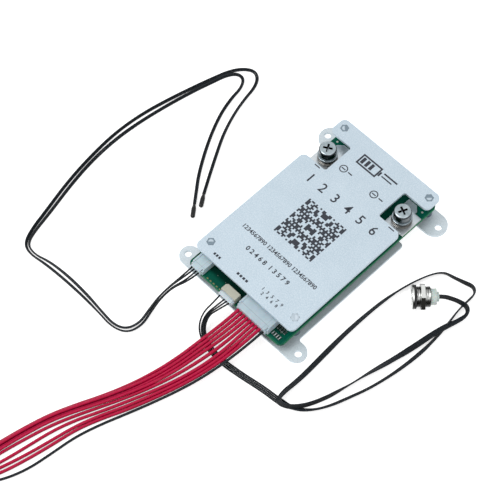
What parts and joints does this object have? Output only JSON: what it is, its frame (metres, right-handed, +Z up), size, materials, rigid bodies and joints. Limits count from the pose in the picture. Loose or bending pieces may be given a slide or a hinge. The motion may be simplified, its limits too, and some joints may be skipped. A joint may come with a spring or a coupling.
{
  "type": "battery management board",
  "caption": "Battery management board: circuit board between an aluminium base and cover plate, with screw terminals, wire connectors, temperature leads and a push button.",
  "frame": {"origin": "centre of the four ear holes' pattern on the base plate's underside", "axes": "+Z up out of the base plate, +Y towards the screw terminals, -Y towards the wire connectors, +X across the board"},
  "size_m": [0.1956, 0.2959, 0.0181],
  "materials": {
    "anodised_aluminium": "fine satin anodised sheet with dark printed marks on the cover",
    "green_laminate": "green solder resist, slightly glossy",
    "plated_steel": "bright zinc or nickel plating",
    "tinned_copper": "tin plated, warm at the bare edges",
    "pale_nylon": "pale moulded nylon",
    "beige_nylon": "beige moulded high-temperature nylon",
    "red_insulation": "glossy soft insulation",
    "black_insulation": "semi-gloss soft insulation",
    "tie_nylon": "natural nylon",
    "black_epoxy": "glossy dipped epoxy",
    "polished_brass_nickel": "bright nickel plating, turned",
    "spring_steel": "bright wire",
    "black_rubber": "matt rubber",
    "clear_green_plastic": "pale translucent moulding",
    "grey_silicone": "soft matt pad",
    "shunt_alloy": "matt resistance alloy with tinned feet",
    "component_epoxy": "moulded component bodies with tinned contacts"
  },
  "bodies": {
    "board": {"base_plate": "anodised_aluminium", "circuit_board": "green_laminate", "cover_plate": "anodised_aluminium", "cover_standoff_1": "plated_steel", "cover_standoff_2": "plated_steel", "cover_standoff_3": "plated_steel", "cover_standoff_4": "plated_steel", "board_spacer_1": "plated_steel", "board_spacer_2": "plated_steel", "board_spacer_3": "plated_steel", "board_spacer_4": "plated_steel", "base_screws": "plated_steel", "terminal_plate_left": "tinned_copper", "terminal_post_left": "tinned_copper", "flat_washer_left": "plated_steel", "spring_washer_left": "plated_steel", "terminal_screw_left": "plated_steel", "terminal_plate_right": "tinned_copper", "terminal_post_right": "tinned_copper", "flat_washer_right": "plated_steel", "spring_washer_right": "plated_steel", "terminal_screw_right": "plated_steel", "balance_header": "pale_nylon", "balance_plug": "pale_nylon", "sensor_header": "pale_nylon", "sensor_plug": "pale_nylon", "button_header": "beige_nylon", "button_plug": "pale_nylon", "balance_wire_1": "red_insulation", "balance_wire_2": "red_insulation", "balance_wire_3": "red_insulation", "balance_wire_4": "red_insulation", "balance_wire_5": "red_insulation", "balance_wire_6": "red_insulation", "balance_wire_7": "red_insulation", "balance_wire_8": "red_insulation", "balance_wire_9": "black_insulation", "balance_coil": "red_insulation", "cable_tie": "tie_nylon", "sensor_lead_1": "black_insulation", "sensor_lead_2": "black_insulation", "sensor_bead_1": "black_epoxy", "sensor_bead_2": "black_epoxy", "button_ribbon": "black_insulation", "button_body": "polished_brass_nickel", "button_spring": "spring_steel", "button_nut": "polished_brass_nickel", "button_gasket": "black_rubber", "button_rear_block": "clear_green_plastic", "power_transistors": "component_epoxy", "thermal_pad": "grey_silicone", "shunt_resistors": "shunt_alloy", "controller_chip": "component_epoxy", "monitor_chip": "component_epoxy", "wireless_module": "component_epoxy", "power_inductor": "component_epoxy", "balance_capacitors": "component_epoxy", "chip_parts": "component_epoxy"},
    "cap": {"button_cap": "polished_brass_nickel"}
  },
  "joints": [
    {"name": "button_press", "type": "slide", "parent": "board", "child": "cap", "axis": [0.6959, 0.7181, 0], "range_m": [0, 0.0015], "stiffness_N_per_m": 300}
  ]
}
